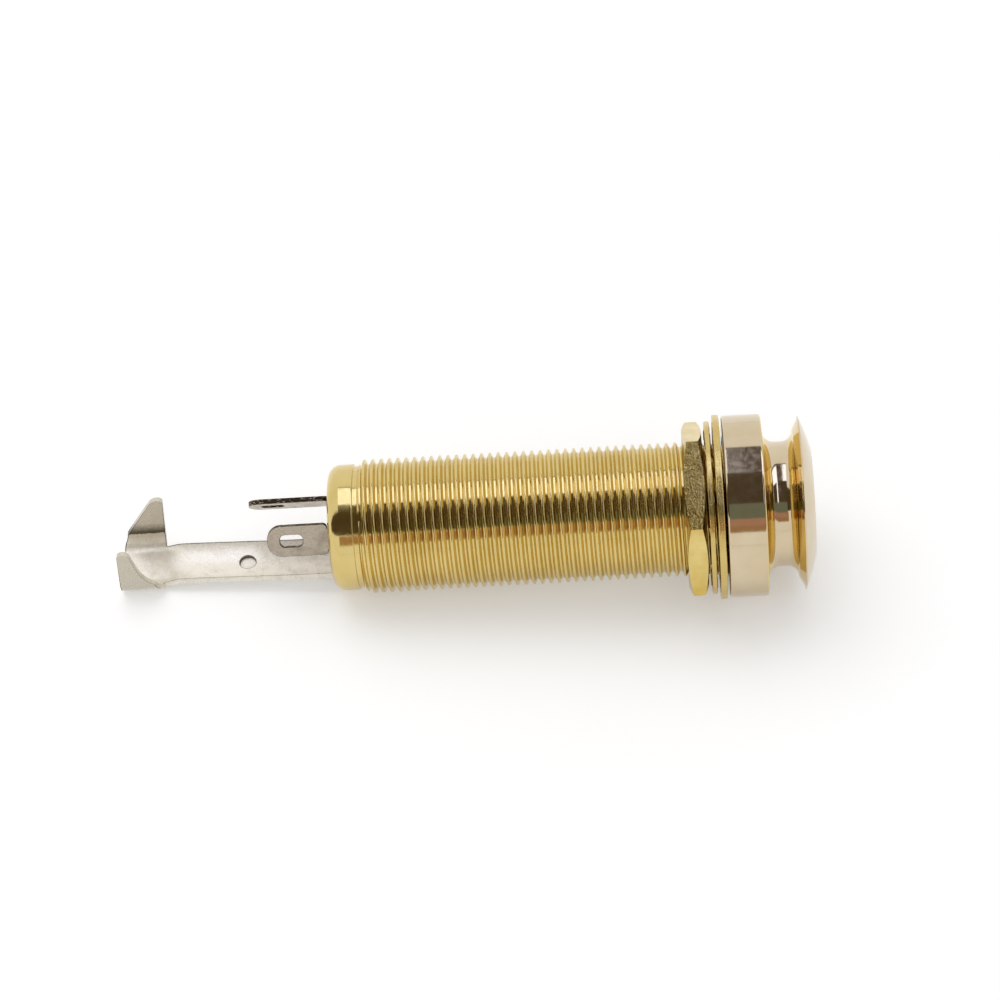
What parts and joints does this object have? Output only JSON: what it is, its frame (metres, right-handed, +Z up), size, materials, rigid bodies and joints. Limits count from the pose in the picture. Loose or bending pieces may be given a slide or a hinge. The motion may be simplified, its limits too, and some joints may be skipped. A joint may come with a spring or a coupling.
{
  "type": "quarter inch phone jack",
  "caption": "End-pin stereo phone jack: threaded barrel with strap button, nut, washers, solder lugs and a ground strap with cable clamp.",
  "frame": {"origin": "on the jack's axis, at the middle of the whole length", "axes": "+X along the jack's axis toward the plug's mouth, +Z up, away from the ground strap"},
  "size_m": [0.0622, 0.0164, 0.0164],
  "materials": {
    "yellow_gold": "polished yellow gold plate",
    "pale_gold": "polished champagne gold plate",
    "tinned": "satin tinned sheet",
    "spring_bronze": "plated spring bronze",
    "black_moulding": "moulded",
    "insulating_board": "laminated board"
  },
  "bodies": {
    "jack_body": {"barrel": "yellow_gold", "rear_insulator": "insulating_board", "contact_holder": "black_moulding", "liner_tube": "insulating_board", "tip_lug": "tinned", "ring_lug": "tinned", "ground_strap": "tinned"},
    "washer": {"flat_washer": "yellow_gold"},
    "button": {"strap_button": "pale_gold"},
    "tooth_washer": {"lock_washer": "yellow_gold"},
    "nut": {"hex_nut": "yellow_gold"},
    "tip_leaf": {"tip_spring": "spring_bronze"},
    "ring_leaf": {"ring_spring": "spring_bronze"}
  },
  "joints": [
    {"name": "button_travel", "type": "slide", "parent": "jack_body", "child": "washer", "axis": [1, 0, 0], "range_m": [0, 0.00476]},
    {"name": "button_turn", "type": "hinge", "parent": "washer", "child": "button", "pos_m": [0.02325, 0, 0], "axis": [1, 0, 0], "range_deg": [0, 2165]},
    {"name": "nut_travel", "type": "slide", "parent": "jack_body", "child": "tooth_washer", "axis": [-1, 0, 0], "range_m": [0, 0.02775]},
    {"name": "nut_turn", "type": "hinge", "parent": "tooth_washer", "child": "nut", "pos_m": [0.02144, 0, 0], "axis": [-1, 0, 0], "range_deg": [0, 13325]},
    {"name": "tip_flex", "type": "hinge", "parent": "jack_body", "child": "tip_leaf", "pos_m": [-0.00325, 0.00281, 0.00162], "axis": [0, -0.5, 0.866], "range_deg": [0, 5.1], "stiffness_Nm_per_rad": 0.5},
    {"name": "ring_flex", "type": "hinge", "parent": "jack_body", "child": "ring_leaf", "pos_m": [-0.00325, -0.00281, 0.00162], "axis": [0, -0.5, -0.866], "range_deg": [0, 2.35], "stiffness_Nm_per_rad": 1}
  ],
  "couplings": [
    {"joint": "button_turn", "follows": "button_travel", "rad_per_m": 7915.8},
    {"joint": "nut_turn", "follows": "nut_travel", "rad_per_m": 8377.6}
  ]
}
